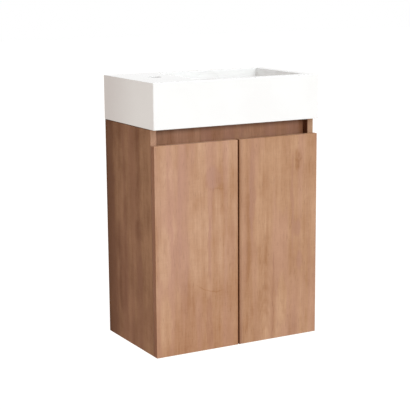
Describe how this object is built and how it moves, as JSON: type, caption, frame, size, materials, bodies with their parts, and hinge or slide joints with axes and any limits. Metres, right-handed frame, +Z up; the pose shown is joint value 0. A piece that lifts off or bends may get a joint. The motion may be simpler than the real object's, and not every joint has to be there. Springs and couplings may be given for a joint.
{
  "type": "wall-hung vanity unit",
  "caption": "Wall-hung bathroom vanity unit: two-door wood-grain cabinet with finger recess, concealed hinges, shelf and hangers, under a rectangular ceramic basin with a side tap ledge.",
  "frame": {"origin": "centre of the wall plates' four screw holes, on the wall plane", "axes": "+Z up, -Y to the front (the doors), +X to the right as seen from the front"},
  "size_m": [0.5, 0.3, 0.721],
  "materials": {
    "wood_board": "satin wood-grain melamine",
    "wood_door": "satin wood-grain melamine",
    "dowel_wood": "plain beech",
    "ceramic_glaze": "glossy white glaze",
    "silicone": "satin",
    "bumper": "clear soft",
    "hinge_steel": "nickel plated",
    "pin_steel": "polished",
    "zinc_screw": "zinc plated",
    "cam_zinc": "die-cast",
    "plate_steel": "galvanised",
    "hanger_plastic": "moulded"
  },
  "bodies": {
    "carcass": {"side_panel_left": "wood_board", "side_panel_right": "wood_board", "bottom_panel": "wood_board", "recess_rail": "wood_board", "hanging_rail": "wood_board", "lower_back_rail": "wood_board", "shelf": "wood_board", "shelf_pins": "pin_steel", "cam_locks": "cam_zinc", "cam_bolts": "zinc_screw", "wood_dowels": "dowel_wood", "hanger_bodies": "hanger_plastic", "hanger_hooks": "plate_steel", "hanger_adjusting_screws": "zinc_screw", "hanger_fixing_screws": "zinc_screw", "wall_plates": "plate_steel", "basin": "ceramic_glaze", "basin_sealant": "silicone", "door_bumpers": "bumper", "hinge_arms_left": "hinge_steel", "arm_pins_left": "pin_steel", "mounting_plates_left": "hinge_steel", "plate_screws_left": "zinc_screw", "arm_screws_left": "zinc_screw", "hinge_arms_right": "hinge_steel", "arm_pins_right": "pin_steel", "mounting_plates_right": "hinge_steel", "plate_screws_right": "zinc_screw", "arm_screws_right": "zinc_screw"},
    "outer_link_pair_left": {"outer_links_left": "hinge_steel"},
    "inner_link_pair_left": {"inner_links_left": "hinge_steel"},
    "door_leaf_left": {"door_left": "wood_door", "hinge_cups_left": "hinge_steel", "cup_screws_left": "zinc_screw", "cup_pins_left": "pin_steel"},
    "outer_link_pair_right": {"outer_links_right": "hinge_steel"},
    "inner_link_pair_right": {"inner_links_right": "hinge_steel"},
    "door_leaf_right": {"door_right": "wood_door", "hinge_cups_right": "hinge_steel", "cup_screws_right": "zinc_screw", "cup_pins_right": "pin_steel"}
  },
  "joints": [
    {"name": "left_outer_link_turn", "type": "hinge", "parent": "carcass", "child": "outer_link_pair_left", "pos_m": [-0.2088, -0.2582, -0.28], "axis": [0, 0, -1], "range_deg": [-22.4, 0]},
    {"name": "left_door_swing", "type": "hinge", "parent": "outer_link_pair_left", "child": "door_leaf_left", "pos_m": [-0.2384, -0.2806, -0.28], "axis": [0, 0, -1], "range_deg": [0, 117.2]},
    {"name": "left_inner_link_turn", "type": "hinge", "parent": "carcass", "child": "inner_link_pair_left", "pos_m": [-0.2144, -0.287, -0.28], "axis": [0, 0, -1], "range_deg": [-35.3, 0]},
    {"name": "right_outer_link_turn", "type": "hinge", "parent": "carcass", "child": "outer_link_pair_right", "pos_m": [0.2088, -0.2582, -0.28], "axis": [0, 0, 1], "range_deg": [-22.4, 0]},
    {"name": "right_door_swing", "type": "hinge", "parent": "outer_link_pair_right", "child": "door_leaf_right", "pos_m": [0.2384, -0.2806, -0.28], "axis": [0, 0, 1], "range_deg": [0, 117.2]},
    {"name": "right_inner_link_turn", "type": "hinge", "parent": "carcass", "child": "inner_link_pair_right", "pos_m": [0.2144, -0.287, -0.28], "axis": [0, 0, 1], "range_deg": [-35.3, 0]}
  ],
  "couplings": [
    {"joint": "left_outer_link_turn", "follows": "left_door_swing", "ratio": -0.18963},
    {"joint": "left_inner_link_turn", "follows": "left_door_swing", "ratio": -0.29984},
    {"joint": "right_outer_link_turn", "follows": "right_door_swing", "ratio": -0.18963},
    {"joint": "right_inner_link_turn", "follows": "right_door_swing", "ratio": -0.29984}
  ]
}
